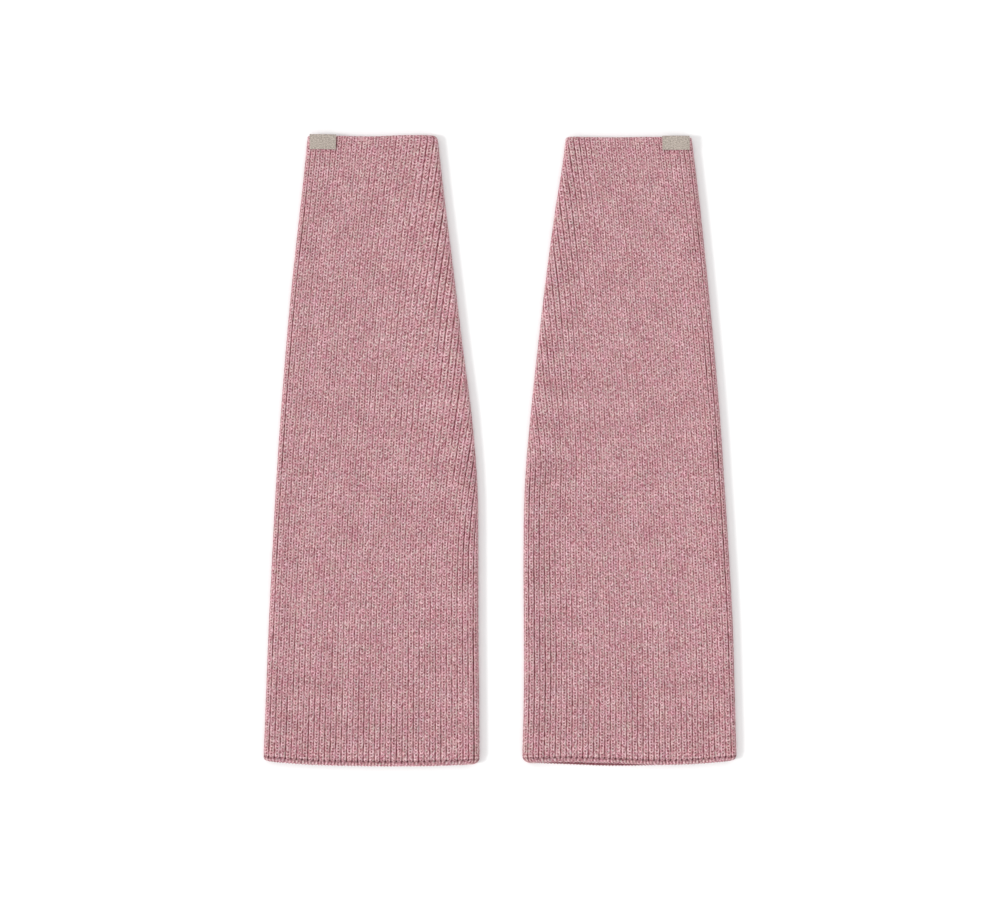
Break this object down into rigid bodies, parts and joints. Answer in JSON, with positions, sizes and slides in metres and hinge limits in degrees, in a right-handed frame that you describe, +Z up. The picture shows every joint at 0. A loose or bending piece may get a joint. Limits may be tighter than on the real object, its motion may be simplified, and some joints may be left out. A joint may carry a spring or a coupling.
{
  "type": "pair of leg warmers",
  "caption": "Ribbed knit leg warmers lying flat side by side, each a tapered tube with a wide rolled hem, a narrow open top and a small bare label at the outer top corner.",
  "frame": {"origin": "on the surface the pair lies on, under the middle of the pair's box", "axes": "+Y up the legs from hem to top opening, +X from the left leg warmer to the right one as seen from above, +Z up from the surface"},
  "size_m": [0.339, 0.4528, 0.0075],
  "materials": {
    "rib_knit": "soft heathered dusty pink 1x1 rib knit",
    "woven_label": "matt greige woven tape"
  },
  "bodies": {
    "root": {"left_tube": "rib_knit", "right_tube": "rib_knit", "left_label": "woven_label", "right_label": "woven_label"}
  },
  "joints": []
}
